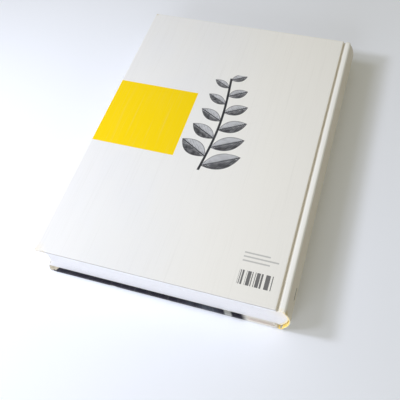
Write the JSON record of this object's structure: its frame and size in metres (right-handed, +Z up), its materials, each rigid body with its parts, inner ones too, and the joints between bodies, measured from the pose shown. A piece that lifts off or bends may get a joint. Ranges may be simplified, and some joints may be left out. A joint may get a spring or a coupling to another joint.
{
  "type": "hardcover book",
  "caption": "Closed case-bound book lying face down, with two hinged board covers, a rounded grooved spine, sewn head and tail bands and a worn corner.",
  "frame": {"origin": "middle of the closed book's bounding box, at the level of the surface that it lies on", "axes": "+X towards the spine, +Y towards the head, +Z up, through the back cover"},
  "size_m": [0.2132, 0.303, 0.034],
  "materials": {
    "leaves": "matt-coated white leaves, seen as fine layers at the edges",
    "endpapers": "plain white uncoated sheet",
    "printed_covering": "printed paper with a satin laminate, white with a yellow field on the back and black on the front",
    "grey_board": "raw tan-grey board, fibrous where it is bare",
    "spine_card": "raw card",
    "lining_cloth": "open-weave cloth stiffened with glue",
    "bands": "woven yellow and cream thread"
  },
  "bodies": {
    "book_block": {"text_block": "leaves", "front_flyleaf": "endpapers", "back_flyleaf": "endpapers", "spine_lining": "lining_cloth", "head_band": "bands", "tail_band": "bands", "spine_inlay": "spine_card", "spine_covering": "printed_covering"},
    "back_cover": {"back_board": "grey_board", "back_covering": "printed_covering", "back_pastedown": "endpapers", "back_crash_flap": "lining_cloth"},
    "front_cover": {"front_board": "grey_board", "front_covering": "printed_covering", "front_pastedown": "endpapers", "front_crash_flap": "lining_cloth"}
  },
  "joints": [
    {"name": "back_cover_hinge", "type": "hinge", "parent": "book_block", "child": "back_cover", "pos_m": [0.09657, 0, 0.034], "axis": [0, 1, 0], "range_deg": [0, 180]},
    {"name": "front_cover_hinge", "type": "hinge", "parent": "book_block", "child": "front_cover", "pos_m": [0.09657, 0, 0], "axis": [0, -1, 0], "range_deg": [0, 180]}
  ]
}
